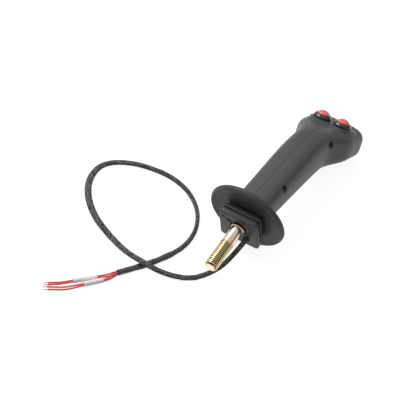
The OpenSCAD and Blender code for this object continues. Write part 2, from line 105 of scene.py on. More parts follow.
def rounded(corners, segments=4):
    # a profile from (radius, height, rounding) corners, each turned into an arc
    points = []
    for i, (x, y, r) in enumerate(corners):
        here = Vector((x, y))
        if r <= 0 or i in (0, len(corners) - 1):
            points.append(here)
            continue
        before = Vector(corners[i - 1][:2]) - here
        after = Vector(corners[i + 1][:2]) - here
        half = before.angle(after) / 2
        reach = min(r / math.tan(half), before.length * 0.49, after.length * 0.49)
        start, end = here + before.normalized() * reach, here + after.normalized() * reach
        for k in range(segments + 1):
            t = k / segments
            points.append(start * (1 - t) ** 2 + here * 2 * t * (1 - t) + end * t ** 2)
    return [(p.x, p.y) for p in points]


def closeHoles(bm):
    bmesh.ops.holes_fill(bm, edges=[e for e in bm.edges if e.is_boundary], sides=0)


def cutPlane(bm, point, normal, drop=True):
    # cuts along a plane, and drops what lies on the side that the normal points to
    bmesh.ops.bisect_plane(bm, geom=bm.verts[:] + bm.edges[:] + bm.faces[:], dist=1e-5,
                           plane_co=point, plane_no=normal, clear_outer=drop)


def roundEdges(bm, edges, amount, segments):
    bmesh.ops.bevel(bm, geom=edges, offset=amount, offset_type="OFFSET", segments=segments,
                    profile=0.5, affect="EDGES", material=-1, clamp_overlap=True)


def tube(around, rows, bend):
    # a grid rolled up into a closed tube, each point put where bend(turn, row) says; its UVs
    # run from 0 to 1 round the tube and along it
    bm = bmesh.new()
    bm.loops.layers.uv.new("wrap")
    bmesh.ops.create_grid(bm, x_segments=around, y_segments=rows - 1, size=1, calc_uvs=True)
    for v in bm.verts:
        turn = round((v.co.x + 1) / 2 * around) % around / around * math.tau
        v.co = bend(turn, round((v.co.y + 1) / 2 * (rows - 1)))
    bmesh.ops.remove_doubles(bm, verts=bm.verts, dist=1e-7)
    closeHoles(bm)
    bmesh.ops.recalc_face_normals(bm, faces=bm.faces)
    return bm


def asObject(bm, name):
    mesh = bpy.data.meshes.new(name)
    bm.to_mesh(mesh)
    bm.free()
    thing = bpy.data.objects.new(name, mesh)
    scene.collection.objects.link(thing)
    return thing


def combine(bm, tool, operation="DIFFERENCE"):
    # cuts a bmesh with another one, or joins or crosses the two
    base, other = asObject(bm, "base"), asObject(tool, "tool")
    step = base.modifiers.new("cut", "BOOLEAN")
    step.operation, step.solver, step.object = operation, "EXACT", other
    result = bmesh.new()
    done = base.evaluated_get(bpy.context.evaluated_depsgraph_get())
    result.from_mesh(done.to_mesh())
    done.to_mesh_clear()
    for thing in (base, other):
        mesh = thing.data
        bpy.data.objects.remove(thing)
        bpy.data.meshes.remove(mesh)
    return result


def cylinder(radius, depth, place, segments):
    # stands on its place and runs up its Z axis
    bm = bmesh.new()
    bmesh.ops.create_cone(bm, cap_ends=True, segments=segments, radius1=radius, radius2=radius,
                          depth=depth, matrix=place @ Matrix.Translation((0, 0, depth / 2)))
    return bm


def hexagon(width, depth, low):
    # a six-sided prism, that wide across its flats
    return cylinder(width / 2 / math.cos(math.pi / 6), depth, Matrix.Translation((0, 0, low)), 6)


def block(size, place):
    bm = bmesh.new()
    bmesh.ops.create_cube(bm, size=1, matrix=place @ Matrix.Diagonal((*size, 1)))
    return bm


def move(bm, matrix):
    bmesh.ops.transform(bm, matrix=matrix, verts=bm.verts)
    return bm


def merge(bm, other):
    mesh = bpy.data.meshes.new("part")
    other.to_mesh(mesh)
    other.free()
    bm.from_mesh(mesh)
    bpy.data.meshes.remove(mesh)


# ---- Material kit ----
class Nodes:
    # short ways to add nodes to one tree and to join them
    def __init__(self, tree):
        self.tree = tree

    def add(self, kind, settings=None, **inputs):
        node = self.tree.nodes.new(kind)
        for key, value in (settings or {}).items():
            setattr(node, key, value)
        for key, value in inputs.items():
            self.join(value, node.inputs[key.replace("_", " ")])
        return node

    def join(self, value, socket):
        if isinstance(value, bpy.types.NodeSocket):
            self.tree.links.new(value, socket)
        elif isinstance(value, tuple) and len(value) == 3 and socket.type == "RGBA":
            socket.default_value = (*value, 1.0)
        else:
            socket.default_value = value

    def fill(self, node, *values):
        for value, socket in zip(values, node.inputs):
            self.join(value, socket)
        return node.outputs[0]

    def maths(self, operation, *values):
        return self.fill(self.add("ShaderNodeMath", {"operation": operation}), *values)

    def scaled(self, vector, factor):
        node = self.add("ShaderNodeVectorMath", {"operation": "SCALE"}, Scale=factor)
        return self.fill(node, vector)

    def blend(self, factor, first, second):
        node = self.add("ShaderNodeMix", {"data_type": "RGBA"}, Factor=factor)
        self.join(first, node.inputs[6])
        self.join(second, node.inputs[7])
        return node.outputs[2]

    def noise(self, place, scale, detail, **inputs):
        node = self.add("ShaderNodeTexNoise", Vector=place, Scale=scale, Detail=detail, **inputs)
        return node.outputs["Fac"]

    def bump(self, height, strength, distance):
        node = self.add("ShaderNodeBump", Strength=strength, Distance=distance, Height=height)
        return node.outputs["Normal"]

    def ramp(self, factor, *stops):
        node = self.add("ShaderNodeValToRGB", Fac=factor)
        elements = node.color_ramp.elements
        for index, (position, colour) in ((0, stops[0]), (1, stops[-1])):
            elements[index].position = position
            elements[index].color = (*colour, 1)
        for position, colour in stops[1:-1]:
            elements.new(position).color = (*colour, 1)
        return node.outputs["Color"]


class Shader(Nodes):
    # one material and its Principled BSDF
    def __init__(self, name, **sockets):
        self.material = bpy.data.materials.new(name)
        self.material.use_nodes = True
        super().__init__(self.material.node_tree)
        self.feed(**sockets)

    def feed(self, **sockets):
        for socket, value in sockets.items():
            self.join(value, self.tree.nodes["Principled BSDF"].inputs[socket.replace("_", " ")])


def makeMouldedSkin():
    # fine moulded grain, slow colour drift and faint handling marks, in metres
    tree = bpy.data.node_groups.new("moulded skin", "ShaderNodeTree")
    sockets = dict(
        INPUT=dict(Base="Color", Drift="Float", Rough="Float", Grain="Float", Depth="Float"),
        OUTPUT=dict(Color="Color", Roughness="Float", Normal="Vector"))
    for direction, kinds in sockets.items():
        for label, kind in kinds.items():
            tree.interface.new_socket(label, in_out=direction, socket_type="NodeSocket" + kind)
    given = tree.nodes.new("NodeGroupInput").outputs
    out = tree.nodes.new("NodeGroupOutput").inputs
    kit = Nodes(tree)
    place = kit.add("ShaderNodeTexCoord").outputs["Object"]
    slow = kit.noise(place, 38.0, 4.0)
    marks = kit.noise(place, 170.0, 6.0, Roughness=0.65)
    grain = kit.noise(place, given["Grain"], 2.0)
    swing = kit.maths("MULTIPLY_ADD", slow, given["Drift"], 1.0)
    level = kit.maths("MULTIPLY_ADD", given["Drift"], -0.5, swing)
    rough = kit.maths("MULTIPLY_ADD", marks, 0.16, given["Rough"])
    kit.join(kit.scaled(given["Base"], level), out["Color"])
    kit.join(kit.maths("SUBTRACT", rough, 0.08), out["Roughness"])
    kit.join(kit.bump(grain, given["Depth"], 0.00012), out["Normal"])
    return tree


mouldedSkin = makeMouldedSkin()


def moulded(name, base, rough, drift=0.1, grain=2200.0, depth=0.2, **sockets):
    # a plastic, rubber or coated piece
    shader = Shader(name, **sockets)
    skin = shader.add("ShaderNodeGroup", {"node_tree": mouldedSkin}, Base=base, Drift=drift,
                      Rough=rough, Grain=grain, Depth=depth).outputs
    shader.feed(Base_Color=skin["Color"], Roughness=skin["Roughness"], Normal=skin["Normal"])
    return shader.material


def brushedMetal(name, base, rough):
    return moulded(name, base, rough, drift=0.12, grain=1400.0, depth=0.12, Metallic=1.0)


finishes = dict(
    shell=moulded("shell plastic", (0.076, 0.082, 0.075), rough=0.46, drift=0.12, depth=0.22,
                  Specular_IOR_Level=0.45),
    guard=moulded("guard plastic", (0.045, 0.050, 0.046), rough=0.5, drift=0.14, depth=0.25,
                  Specular_IOR_Level=0.45),
    base=moulded("base plastic", (0.034, 0.036, 0.033), rough=0.48, drift=0.14, depth=0.2),
    screw=brushedMetal("blackened screw", (0.05, 0.05, 0.052), rough=0.38),
    bezel=moulded("bezel gloss", (0.022, 0.023, 0.022), rough=0.3, drift=0.2, depth=0.03,
                  Coat_Weight=0.5, Coat_Roughness=0.15),
    seal=moulded("seal rubber", (0.008, 0.008, 0.008), rough=0.62, depth=0.3),
    nut=brushedMetal("nickel", (0.55, 0.54, 0.52), rough=0.3),
    cap=moulded("red cap", (0.92, 0.15, 0.13), rough=0.34, drift=0.04, depth=0.02,
                Coat_Weight=1.0, Coat_Roughness=0.3),
    plunger=moulded("nylon", (0.72, 0.70, 0.63), rough=0.45),
    brass=brushedMetal("brass", (0.72, 0.54, 0.27), rough=0.3),
    spring=brushedMetal("spring steel", (0.62, 0.62, 0.62), rough=0.25),
    phenolic=moulded("contact block", (0.02, 0.02, 0.022), rough=0.4),
    wire=moulded("red insulation", (0.85, 0.09, 0.088), rough=0.32, drift=0.06, depth=0.02,
                 Coat_Weight=0.2, Coat_Roughness=0.2),
    shrink=moulded("heat shrink", (0.060, 0.065, 0.065), rough=0.4, drift=0.25, grain=900.0,
                   depth=0.35),
    tie=moulded("tie nylon", (0.75, 0.75, 0.72), rough=0.4),
)
print("finishes ready")


# ---- Free lead: the routes' points, in millimetres, lie where the CAD solids lie ----
lead = dict(
    diameter=4.6, wire=1.5, across=7.0, behind=12.2, underPlate=15.5, drop=5.0,
    cells=20, cellLength=0.75, relief=0.14, strandRound=0.6, strandRise=0.8, dip=0.35,
    threads=4, around=60, step=0.45, flecks=0.4, steep=0.6, liesBelow=2.6,
    # half the width of the braid at each point of its route, flattened where it lies
    widths=[2.3, 2.3, 2.4, 2.5, 2.6, 2.7, 2.8, 2.8, 2.9, 3.1, 3.2, 3.2, 3.2, 3.2, 3.0, 2.7, 2.4,
            2.1, 1.95, 1.95, 1.95, 2.0, 2.2, 2.3],
    route=[(5, -83, 14.5), (1, -95, 8), (-6, -107, 4), (-15, -117, 2.3), (-28, -125, 3.2),
           (-42, -130, 6), (-56, -131.5, 8.8), (-72, -128.5, 6.8), (-88, -122, 3.6),
           (-104, -114.5, 2.3), (-121, -106, 2.3), (-137, -94, 2.3), (-150, -79, 2.3),
           (-157.5, -63, 2.3), (-158, -46, 2.3), (-148, -33, 2.3), (-128, -24, 2.3),
           (-101, -21.5, 2.3), (-78, -27.5, 2.3), (-60, -40, 2.3), (-48.5, -55, 2.3),
           (-42, -72, 2.3), (-41, -88, 2.3), (-43.5, -102, 2.9)],
    wires=[[(-70.6, -150, 3.9), (-75, -156, 2.9), (-82, -163.2, 1.75), (-89, -171.3, 1.75),
            (-96.4, -179.6, 1.75), (-104, -187, 1.1), (-112, -192.8, 0.8)],
           [(-70.6, -150, 1.9), (-74.2, -156.9, 1.6), (-80.8, -164.3, 1.75),
            (-87.8, -172.4, 1.75), (-95.2, -180.7, 1.75), (-103, -188.7, 1.1),
            (-111.2, -195.1, 0.8)],
           [(-69.2, -151, 3.9), (-71.6, -157, 2.9), (-75.4, -163, 1.75), (-80.6, -169.9, 1.75),
            (-86.6, -177.5, 1.75), (-97.6, -189.2, 1.1), (-110, -197.4, 0.8)],
           [(-69.2, -151, 1.9), (-70.6, -157.6, 1.7), (-74, -163.9, 1.75), (-79.2, -170.9, 1.75),
            (-85.2, -178.5, 1.75), (-94.6, -190.4, 1.1), (-107.6, -199.6, 0.8)]])
heatShrink = dict(
    diameter=5.8, wall=0.75, slack=0.24, hug=0.25, hugRun=1.2, boreIn=3, boreOut=2,
    around=40, step=0.5,
    route=[(-43.65, -102.4, 2.9), (-49, -115.5, 2.9), (-55.5, -128, 2.9), (-62, -138.5, 2.9),
           (-69.5, -150, 2.9)])
sleeves = dict(
    diameter=4.4, wall=0.35, slack=0.02, around=48, step=0.5,
    ends=dict(upper=((-81.4, -163.8), (-95.6, -179.9)), lower=((-74.7, -163.4), (-85.7, -177.8))))
tips = dict(reach=(-3.1, -2.2, 0), strands=7, radius=0.155, spread=0.3, twist=0.35, around=8,
            step=0.25)

# the grip's own upright frame: Z runs up the stud's axis to the head, -Y is the button side
stud = next(m for m in frame["record"]["mounts"] if m["name"] == "stud_thread")
studMiddle = 47.5 * mm       # from the guard's middle down to the middle of the thread
upAxis = -Vector(stud["axis"])
sideAxis = Vector((1, 0, 0))
lay = Matrix((sideAxis, upAxis.cross(sideAxis), upAxis)).transposed().to_4x4()
lay.translation = Vector(stud["pos_m"]) + upAxis * studMiddle
layMm = lay @ Matrix.Diagonal((mm, mm, mm, 1))


def curvePoint(points, k, t):
    # on the smooth curve through the points, that share of the way from point k to the next
    a, b = points[max(k - 1, 0)], points[k]
    c, d = points[k + 1], points[min(k + 2, len(points) - 1)]
    return (2 * b + (c - a) * t + (2 * a - 5 * b + 4 * c - d) * t * t
            + (3 * b - a - 3 * c + d) * t ** 3) / 2


def smoothRoute(points, parts=2):
    # the same smooth curve through the route's points as the CAD lead follows
    points = [Vector(p) for p in points]
    made = [curvePoint(points, k, part / parts)
            for k in range(len(points) - 1) for part in range(parts)]
    return made + [points[-1]]


def mix(a, b, t):
    return a + (b - a) * t


def ease(t):
    t = min(1, max(0, t))
    return t * t * (3 - 2 * t)


class Run:
    # a path in even steps, with side vectors carried along it without twist
    def __init__(self, points, step):
        marks = [0.0]
        for a, b in zip(points, points[1:]):
            marks.append(marks[-1] + (b - a).length)
        self.length = marks[-1]
        self.rows = max(3, round(self.length / step) + 1)
        self.dots = []
        for i in range(self.rows):
            s = self.length * i / (self.rows - 1)
            k = min(bisect.bisect_right(marks, s) - 1, len(points) - 2)
            t = (s - marks[k]) / (marks[k + 1] - marks[k])
            self.dots.append(points[k].lerp(points[k + 1], t))
        self.heads = [(self.dots[min(i + 1, self.rows - 1)] - self.dots[max(i - 1, 0)]).normalized()
                      for i in range(self.rows)]
        side = self.heads[0].orthogonal().normalized()
        self.sides = []
        for head in self.heads:
            side = (side - side.dot(head) * head).normalized()
            self.sides.append(side)

    def place(self, row, turn, radius):
        side = self.sides[row]
        up = self.heads[row].cross(side)
        return self.dots[row] + radius * (math.cos(turn) * side + math.sin(turn) * up)

    def along(self, row):
        return self.length * row / (self.rows - 1)


def tubeOn(run, around, radius):
    # a tube on a run of millimetre points; radius(turn, distance) may change along it
    return tube(around, run.rows,
                lambda turn, row: run.place(row, turn, radius(turn, run.along(row))) * mm)


def braidHeight(turn, distance):
    # two families of strands cross over and under each other in cells
    a = turn / math.tau * lead["cells"]
    b = distance / lead["cellLength"] / 2
    p, q = a + b, a - b
    across = p if (math.floor(p) + math.floor(q)) % 2 == 0 else q
    other = q if across is p else p
    bulge = math.sin(math.pi * (across % 1)) ** lead["strandRound"]
    rise = math.sin(math.pi * (other % 1)) ** lead["strandRise"]
    return lead["relief"] * (bulge * mix(lead["dip"], 1, rise) - 1)


def makeBraidFinish(length):
    # grey flecks on the strands of one family, and fine threads along every strand, with painted
    # shade between the threads and lighter colour on their crests
    shader = Shader("black braid", Roughness=0.55, Specular_IOR_Level=0.4, Sheen_Weight=0.1)
    maths = shader.maths
    uv = shader.add("ShaderNodeUVMap", {"uv_map": "wrap"}).outputs[0]
    split = shader.add("ShaderNodeSeparateXYZ", Vector=uv)
    a = maths("MULTIPLY", split.outputs["X"], float(lead["cells"]))
    b = maths("MULTIPLY", split.outputs["Y"], length / lead["cellLength"] / 2)
    p, q = maths("ADD", a, b), maths("SUBTRACT", a, b)
    cellP, cellQ = maths("FLOOR", p), maths("FLOOR", q)
    cell = shader.add("ShaderNodeCombineXYZ", X=maths("FLOORED_MODULO", cellP, 64.0), Y=cellQ)
    noise = shader.add("ShaderNodeTexWhiteNoise", {"noise_dimensions": "2D"},
                       Vector=cell.outputs[0])
    even = maths("COMPARE", maths("FLOORED_MODULO", maths("ADD", cellP, cellQ), 2.0), 0.0, 0.1)
    fleck = maths("MULTIPLY", even, maths("GREATER_THAN", noise.outputs["Value"], lead["flecks"]))
    strand = shader.add("ShaderNodeMix", {"data_type": "FLOAT"}, Factor=even)
    shader.join(q, strand.inputs[2])
    shader.join(p, strand.inputs[3])
    threads = maths("SINE", maths("MULTIPLY", strand.outputs[0], math.tau * lead["threads"]))
    colour = shader.blend(fleck, (0.014, 0.014, 0.014), (0.26, 0.26, 0.25))
    # painted shade: the colour darkens between the fine threads and lightens on their crests
    shader.feed(Base_Color=shader.scaled(colour, maths("MULTIPLY_ADD", threads, 0.3, 0.85)),
                Normal=shader.bump(threads, 0.5, 0.00006))
    return shader.material


def flatTube(run, radius):
    # the braid lies flatter where it rests, and keeps its section's area
    marks = [min(range(run.rows), key=lambda i: (run.dots[i] - Vector(p)).length_squared)
             for p in lead["route"]]
    shapes = []
    for row in range(run.rows):
        k = min(max(bisect.bisect_right(marks, row) - 1, 0), len(marks) - 2)
        t = min(1, max(0, (row - marks[k]) / (marks[k + 1] - marks[k])))
        wide = mix(lead["widths"][k], lead["widths"][k + 1], ease(t))
        tall = radius * radius / wide
        head = run.heads[row]
        across = head.cross(Vector((0, 0, 1))).normalized()
        if abs(head.z) > lead["steep"]:
            wide = tall = radius
        if run.dots[row].z < lead["liesBelow"]:
            run.dots[row] = Vector((*run.dots[row].xy, tall))
        shapes.append((across, across.cross(head), wide / radius, tall / radius))

    def place(turn, row):
        across, up, wide, tall = shapes[row]
        out = run.place(row, turn, radius + braidHeight(turn, run.along(row))) - run.dots[row]
        return (run.dots[row] + across * out.dot(across) * wide + up * out.dot(up) * tall) * mm

    return tube(lead["around"], run.rows, place)


def layBraid():
    upright = [(lead["across"], lead["behind"], -lead["underPlate"] - d)
               for d in (0, lead["drop"])]
    start = [layMm @ Vector(p) / mm for p in upright]
    path = smoothRoute(start + [Vector(p) for p in lead["route"]])
    run = Run(smoothRoute(path, 6), lead["step"])
    piece = finish(flatTube(run, lead["diameter"] / 2), "braidedLead", "braid",
                   ["braided_lead"], sharp=0, material=makeBraidFinish(run.length))
    return piece, run


def shrinkRadius(turn, d):
    # gripped tight on the braid at one end, and slightly lumpy over the joint
    tight = heatShrink["hug"] * math.exp(-(d / heatShrink["hugRun"]) ** 2)
    lumps = 0.10 * math.sin(d / 4.1 + 0.6) + 0.07 * math.sin(d / 1.9 + 2 * turn)
    flat = 0.05 * math.cos(2 * turn + d / 9)
    return heatShrink["diameter"] / 2 - heatShrink["slack"] - tight + lumps + flat


def makeHeatShrink():
    run = Run(smoothRoute(smoothRoute(heatShrink["route"]), 5), heatShrink["step"])
    end, head = run.dots[-1], run.heads[-1]
    hollow = Run([end - head * heatShrink["boreIn"], end + head * heatShrink["boreOut"]], 1)
    bore = heatShrink["diameter"] / 2 - heatShrink["wall"]
    around = heatShrink["around"]
    bm = combine(tubeOn(run, around, shrinkRadius), tubeOn(hollow, around, lambda turn, d: bore))
    return finish(bm, "heatShrink", "shrink", ["heat_shrink"])


def makeWires():
    pieces = []
    r = lead["wire"] / 2
    for number, route in enumerate(lead["wires"], 1):
        run = Run(smoothRoute(smoothRoute(route), 5), 0.5)
        piece = finish(tubeOn(run, 20, lambda turn, d: r), f"wire{number}", "wire",
                       [f"wire_{number}"])
        pieces.append((piece, run))
    return pieces


def makeSleeves():
    pieces = []
    r = sleeves["diameter"] / 2
    for word, (first, last) in sleeves["ends"].items():
        a, b = Vector((*first, r)), Vector((*last, r))
        past = (b - a) * 0.1
        outer = tubeOn(Run([a, b], sleeves["step"]), sleeves["around"],
                       lambda turn, d: r - sleeves["slack"])
        bore = tubeOn(Run([a - past, b + past], 5), sleeves["around"],
                      lambda turn, d: r - sleeves["wall"])
        pieces.append(finish(combine(outer, bore), word + "Sleeve", "sleeve",
                             [word + "_sleeve"], material=sleeveFinish(a * mm, (b - a) * mm)))
    return pieces


def makeTips():
    # each bared end is one strand with six more twisted about it
    bm = bmesh.new()
    reach = Vector(tips["reach"])
    for route in lead["wires"]:
        end = Vector(route[-1])
        line = Run([end - reach * 0.1, end + reach], tips["step"])
        for k in range(tips["strands"]):
            spread = 0 if k == 0 else tips["spread"]
            side = Run([line.place(i, math.tau * k / 6 + tips["twist"] * line.along(i), spread)
                        for i in range(line.rows)], tips["step"])
            merge(bm, tubeOn(side, tips["around"], lambda turn, d: tips["radius"]))
    return finish(bm, "wireTips", "tinned", ["wire_tips"],
                  material=brushedMetal("tinned copper", (0.72, 0.72, 0.71), rough=0.28))


def sleeveFinish(start, span):
    # white marker sleeve with one cut end turned cream
    shader = Shader(f"marker sleeve {start.x:.3f}", Roughness=0.35, Coat_Weight=0.3,
                    Coat_Roughness=0.15)
    place = shader.add("ShaderNodeTexCoord").outputs["Object"]
    away = shader.fill(shader.add("ShaderNodeVectorMath", {"operation": "SUBTRACT"}), place,
                       tuple(start))
    along = shader.add("ShaderNodeVectorMath", {"operation": "DOT_PRODUCT"})
    shader.fill(along, away, tuple(span / span.length_squared))
    colour = shader.ramp(along.outputs["Value"], (0.03, (0.80, 0.68, 0.38)),
                         (0.1, (0.97, 0.93, 0.92)))
    noise = shader.noise(place, 700.0, 3.0)
    shade = shader.maths("MULTIPLY_ADD", noise, 0.06, 0.95)
    shader.feed(Base_Color=shader.scaled(colour, shade), Normal=shader.bump(noise, 0.15, 0.0001))
    return shader.material


braid, run = layBraid()
shrink = makeHeatShrink()
wirePieces = makeWires()
sleevePieces = makeSleeves()
tipPiece = makeTips()
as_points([d * mm for d in run.dots[::8]]
        + [run.dots[-1] * mm])
for piece, wireRun in wirePieces:
    [d * mm for d in wireRun.dots]
print("lead laid,", round(run.length), "mm of braid")


# ---- Shells: lofted along a leaning, bending centre line ----
grip = dict(
    length=168.0, footWidth=33.0, footDepth=30.0, footFlare=1.6, footRun=5.0, footY=-1.5,
    footZ=3.5, palmWidth=35.0, palmDepth=37.0, palmAt=0.5, swell=2.0, swellAt=0.56,
    swellRun=0.14, headWidth=56.0, headDepth=32.0, headTilt=38.0, headFullness=3.8,
    headFrom=0.55, headRun=0.28, flareAt=0.72, flareRun=0.2, fullness=2.8, lean=14.0,
    bendAt=0.605, bendRun=0.4, squareRun=40.0, crown=9.0, wall=3.0, lip=0.32, lipLine=0.1,
    lipDrop=0.24)
screws = dict(places=[(0.195, 6.5), (0.655, 8.5)], diameter=3.0, head=5.7, headHeight=2.1,
              seat=6.0, boss=10.7, length=20.0, recessGap=0.3, holeGap=0.2, crossTurn=0.4)
pads = dict(at=0.845, rise=1.2, pitch=20.6, lean=45.0, diameter=22.6, depth=7.0, hole=11.2,
            edge=0.9, flare=0.5, sill=0.7, swellRun=5.0, swellDown=5.0, fadeRun=4.0)
pegs = dict(places=[(0.32, 26), (0.92, 22)], boss=7.0)
through = 40      # long enough to pass through the grip


def tiltAt(u):
    return mix(grip["lean"], grip["headTilt"],
               ease((u / grip["length"] - grip["bendAt"]) / grip["bendRun"] + 0.5))


@functools.cache
def cutAt(u):
    return math.radians(tiltAt(u) * ease(u / grip["squareRun"]))


lineStep = 2.0
middle = [Vector((0, grip["footY"], grip["footZ"]))]
while len(middle) <= grip["length"] / lineStep + 1:
    a = math.radians(tiltAt((len(middle) - 0.5) * lineStep))
    middle.append(middle[-1] + lineStep * Vector((0, math.sin(a), math.cos(a))))


@functools.cache
def middleAt(u):
    if u < 0:
        a = math.radians(grip["lean"])
        return middle[0] + u * Vector((0, math.sin(a), math.cos(a)))
    k = min(int(u / lineStep), len(middle) - 2)
    return curvePoint(middle, k, u / lineStep - k)


@functools.cache
def halfSizes(u):
    flare = ease((u / grip["length"] - grip["flareAt"]) / grip["flareRun"] + 0.5)
    palm = ease(u / grip["length"] / grip["palmAt"])
    wide = mix(mix(grip["footWidth"], grip["palmWidth"], palm), grip["headWidth"], flare)
    deep = mix(mix(grip["footDepth"], grip["palmDepth"], palm), grip["headDepth"], flare)
    back = grip["swell"] * math.exp(
        -((u / grip["length"] - grip["swellAt"]) / grip["swellRun"]) ** 2)
    return wide / 2, deep / 2, back


def footFlare(u):
    # the shells spread a little where they meet the guard
    return grip["footFlare"] * max(0, 1 - u / grip["footRun"]) ** 2


def skinPoint(u, turn, inset=0.0, shrink=0.0):
    wide, deep, back = halfSizes(u)
    c, s = math.cos(turn), math.sin(turn)
    # the front of the head is squarer than the rest
    square = ease((u / grip["length"] - grip["headFrom"]) / grip["headRun"]) if s < 0 else 0
    power = 2 / mix(grip["fullness"], grip["headFullness"], square)
    across = math.copysign(abs(c) ** power, c)
    depth = math.copysign(abs(s) ** power, s)
    deep = depth * (deep + (back if s > 0 else 0) - inset - shrink)
    cut = cutAt(u)
    return middleAt(u) + Vector((across * (wide - inset - shrink), deep * math.cos(cut),
                                 -deep * math.sin(cut)))


def stations(start, inset, step, arc):
    # even rings up the body, then rings round the crown
    top, r = grip["length"] - inset, grip["crown"] - inset
    count = round((top - r - start) / step)
    rings = [(start + (top - r - start) * i / count, 0) for i in range(count + 1)]
    for i in range(1, arc + 1):
        a = math.pi / 2 * i / arc
        rings.append((top - r + r * math.sin(a), r * (1 - math.cos(a))))
    return rings


def loft(around, start, inset, step, arc):
    rings = stations(start, inset, step, arc)
    return tube(around, len(rings),
                lambda turn, row: skinPoint(rings[row][0], turn, inset, rings[row][1]))


def frontFrame(u, deep):
    # a place on the parting plane, that far behind the front of the grip
    cut = cutAt(u)
    return skinPoint(u, -math.pi / 2) + deep * Vector((0, math.cos(cut), -math.sin(cut)))


padNormal = Vector((0, -math.sin(math.radians(pads["lean"])), math.cos(math.radians(pads["lean"]))))
padOrigin = skinPoint(pads["at"] * grip["length"], -math.pi / 2) + pads["rise"] * padNormal
tipButton = Matrix.Rotation(math.radians(pads["lean"]), 4, "X")


def atButton(side):
    return Matrix.Translation(padOrigin + Vector((side * pads["pitch"] / 2, 0, 0))) @ tipButton


def acrossAt(place, side):
    return Matrix.Translation(frontFrame(place[0] * grip["length"], place[1])) \
        @ Matrix.Rotation(side * math.pi / 2, 4, "Y")


def raiseSeats(bm):
    # the skin swells softly up to the two pads, and spreads a little at the foot
    frames = [(atButton(side), atButton(side).inverted()) for side in (-1, 1)]
    for v in bm.verts:
        u = (v.co.z - grip["footZ"]) / math.cos(math.radians(grip["lean"]))
        if u < grip["footRun"]:
            out = Vector((v.co.x, v.co.y - grip["footY"], 0))
            v.co += footFlare(max(u, 0)) * out.normalized()
            continue
        best, lift = 0, None
        for place, back in frames:
            local = back @ v.co
            reach = local.xy.length - pads["diameter"] / 2
            if -pads["swellDown"] < local.z < -pads["sill"]:
                t = ease(1 - reach / pads["swellRun"]) \
                    * ease((local.z + pads["swellDown"]) / pads["fadeRun"])
                rise = (-pads["sill"] - local.z) * t
                if rise > best:
                    best, lift = rise, place.to_3x3() @ Vector((0, 0, rise))
        if lift:
            v.co += lift


def halve(bm, side):
    # keeps what lies on that side of the parting plane, and closes it
    cutPlane(bm, (0, 0, 0), (-side, 0, 0))
    closeHoles(bm)
    return bm


def leanLips(bm, side):
    # the two lips lean away from each other along the parting line
    for x in (grip["lipLine"], grip["lip"]):
        cutPlane(bm, (side * x, 0, 0), (side, 0, 0), drop=False)
    bm.normal_update()
    drops = []
    for v in bm.verts:
        if abs(v.co.x) < grip["lip"] - 0.01:
            outward = sum((f.normal * f.calc_area() for f in v.link_faces
                           if abs(f.normal.x) < 0.8), Vector())
            outward.x = 0
            if outward.length > 0:
                t = 1 - abs(v.co.x) / grip["lip"]
                drops.append((v, -outward.normalized() * grip["lipDrop"] * t * t))
    for v, drop in drops:
        v.co += drop


def hollowShell(side):
    bm = loft(around=176, start=0, inset=0, step=0.75, arc=12)
    raiseSeats(bm)
    bm = halve(bm, side)
    # the pad under the button, with a rounded top edge
    r = pads["diameter"] / 2
    pad = lathe(rounded([(0, 0, 0), (r, 0, pads["edge"]),
                         (r + pads["flare"], -pads["depth"], 0), (0, -pads["depth"], 0)]))
    bm = combine(bm, halve(move(pad, atButton(side)), side), "UNION")
    leanLips(bm, side)
    # hollow inside, apart from the bosses
    hollow = loft(around=50, start=-2, inset=grip["wall"], step=4, arc=6)
    for bosses, segments in ((screws, 40), (pegs, 32)):
        for place in bosses["places"]:
            hollow = combine(hollow, cylinder(bosses["boss"] / 2, through,
                                              acrossAt(place, side), segments))
    bm = combine(bm, hollow)
    # the button's hole is turned a hair, so that its edges miss the pad's
    hole = atButton(side) @ Matrix.Translation((0, 0, -through / 2)) \
        @ Matrix.Rotation(0.02, 4, "Z")
    return combine(bm, cylinder(pads["hole"] / 2, through, hole, 72))


def buildShell(half, side, name, node):
    # the two halves mirror each other, apart from the screws' holes on the right
    bm = half.copy()
    if side > 0:
        bmesh.ops.scale(bm, vec=(-1, 1, 1), verts=bm.verts)
        bmesh.ops.reverse_faces(bm, faces=bm.faces)
        for place in screws["places"]:
            recess = acrossAt(place, side) @ Matrix.Translation((0, 0, screws["seat"]))
            bm = combine(bm, cylinder(screws["head"] / 2 + screws["recessGap"], through,
                                      recess, 56))
            hole = acrossAt(place, side) @ Matrix.Translation((0, 0, -1))
            bm = combine(bm, cylinder(screws["diameter"] / 2 + screws["holeGap"],
                                      screws["seat"] + 2, hole, 32))
    finish(move(bm, layMm), name, "shell", [node], sharp=32)


leftHalf = hollowShell(-1)
buildShell(leftHalf, -1, "leftShell", "left_shell")
buildShell(leftHalf, 1, "rightShell", "right_shell")
print("shells lofted")


def buildScrews():
    bm = bmesh.new()
    r, h, seat = screws["head"] / 2, screws["headHeight"], screws["seat"]
    rod, tip = screws["diameter"] / 2, screws["seat"] - screws["length"]
    for place in screws["places"]:
        one = lathe(rounded([(0, tip, 0), (rod, tip, 0.3), (rod, seat, 0.05), (r, seat, 0.2),
                             (r, seat + h * 0.55, 0.8), (r * 0.5, seat + h, 0.6),
                             (0, seat + h, 0)]), 48)
        for turn in (screws["crossTurn"], screws["crossTurn"] + math.pi / 2):
            cross = Matrix.Rotation(turn, 4, "Z") @ Matrix.Translation((0, 0, seat + h))
            one = combine(one, block((r * 1.15, r * 0.3, h * 1.1), cross))
        merge(bm, move(one, acrossAt(place, 1)))
    finish(move(bm, layMm), "shellScrews", "screw", ["shell_screws"], sharp=40)


buildScrews()


# ---- Guard ----
guard = dict(diameter=75.0, rim=7.0, bead=4.6, width=27.3, depth=24.3, corner=8.8,
             behind=-1.5, bore=4.0, cut=8, leadHole=2.9, leadBehind=11.4)


